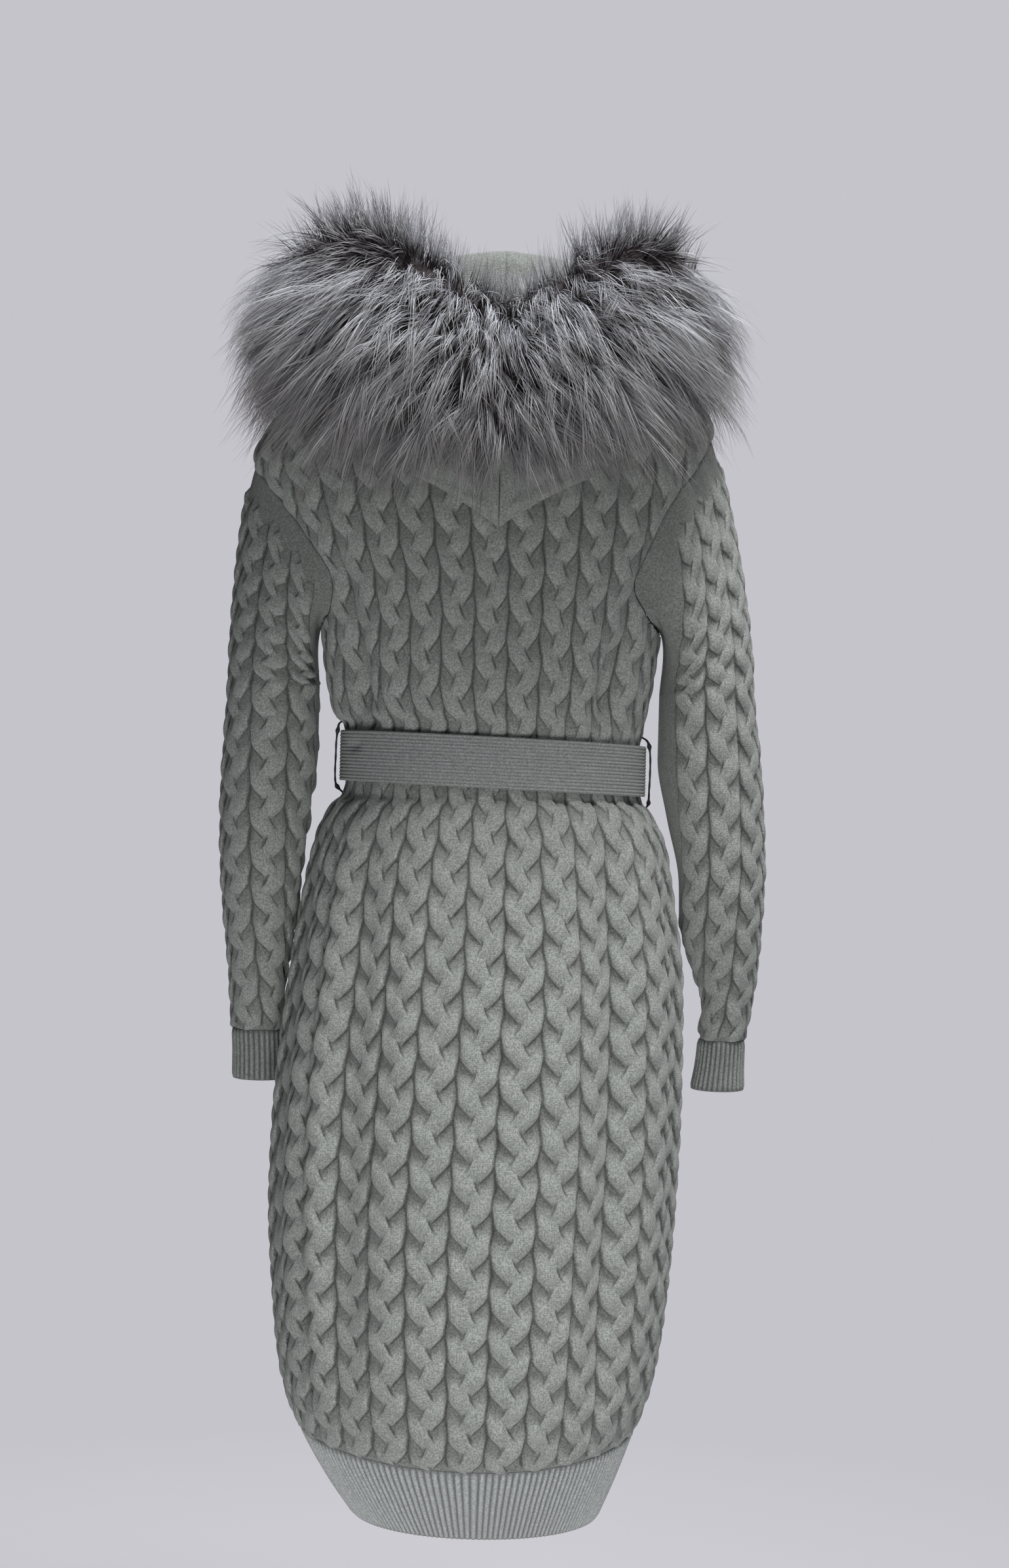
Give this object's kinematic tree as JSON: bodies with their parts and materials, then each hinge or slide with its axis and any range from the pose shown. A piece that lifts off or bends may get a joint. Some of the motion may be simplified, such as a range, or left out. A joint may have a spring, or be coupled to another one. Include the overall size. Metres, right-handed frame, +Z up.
{
  "type": "hooded cardigan",
  "caption": "Long hooded cardigan in thick cable knit with a broad fur trim round the lowered hood, a tied knit belt, long sleeves with rib cuffs and a drawn-in rib hem",
  "frame": {"origin": "the middle of the neck opening, level with the tops of the shoulder seams, where the wearer's neck and shoulders hold the garment up", "axes": "+Z is up, along the wearer's spine; the front faces -Y and the back +Y; +X is the wearer's left"},
  "size_m": [0.5145, 0.3966, 1.2154],
  "materials": {
    "cable_knit": "thick matt wool in cable stitch",
    "rib_knit": "matt wool in rib stitch",
    "belt_knit": "flat matt wool with fine lengthwise ribs",
    "fur": "long soft silver and brown hair",
    "cord": "thin matt thread cord"
  },
  "bodies": {
    "root": {"panel_back": "cable_knit", "panel_front_left": "cable_knit", "panel_front_right": "cable_knit", "sleeve_left": "cable_knit", "sleeve_right": "cable_knit", "hood_left": "cable_knit", "hood_right": "cable_knit", "hem_rib_back": "rib_knit", "hem_rib_front_left": "rib_knit", "hem_rib_front_right": "rib_knit", "front_band_left": "rib_knit", "front_band_right": "rib_knit", "cuff_left": "rib_knit", "cuff_right": "rib_knit", "fur_trim": "fur", "belt": "belt_knit", "belt_knot": "belt_knit", "belt_tail_left": "belt_knit", "belt_tail_right": "belt_knit", "belt_loop_left": "cord", "belt_loop_right": "cord"}
  },
  "joints": []
}
